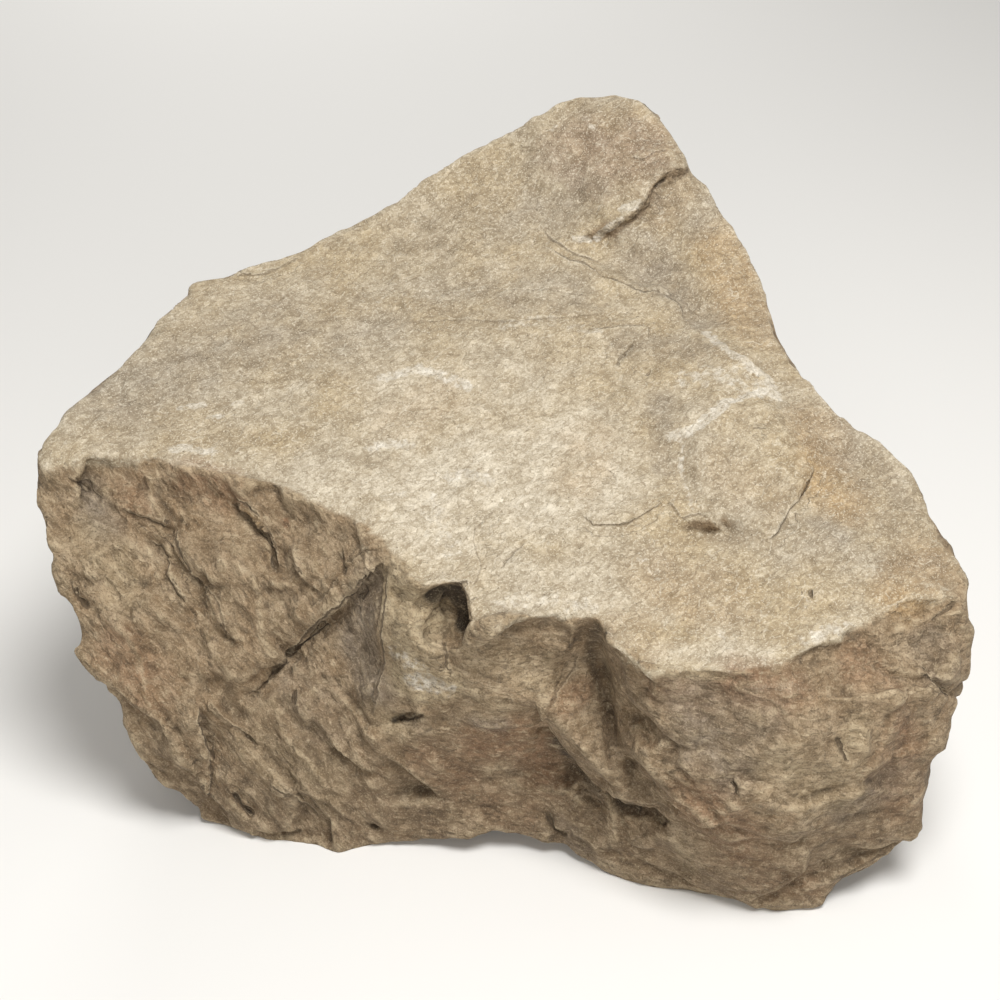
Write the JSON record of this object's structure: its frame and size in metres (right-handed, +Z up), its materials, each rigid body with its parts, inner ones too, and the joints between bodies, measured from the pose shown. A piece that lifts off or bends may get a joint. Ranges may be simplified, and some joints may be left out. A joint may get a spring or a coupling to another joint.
{
  "type": "boulder",
  "caption": "Weathered pale limestone boulder with a tilted slab top rising to a peak, a scarred broken left face and a pit at its front rim.",
  "frame": {"origin": "on the ground, under the middle of the boulder's bounding box", "axes": "+X along the longest side, to the right seen from the front; +Y to the back, where the peak is; +Z up"},
  "size_m": [1.0752, 0.9096, 0.6736],
  "materials": {
    "weathered_limestone": "matt, grainy, with pale crusts on top and tan to reddish brown broken faces"
  },
  "bodies": {
    "root": {"boulder": "weathered_limestone"}
  },
  "joints": []
}
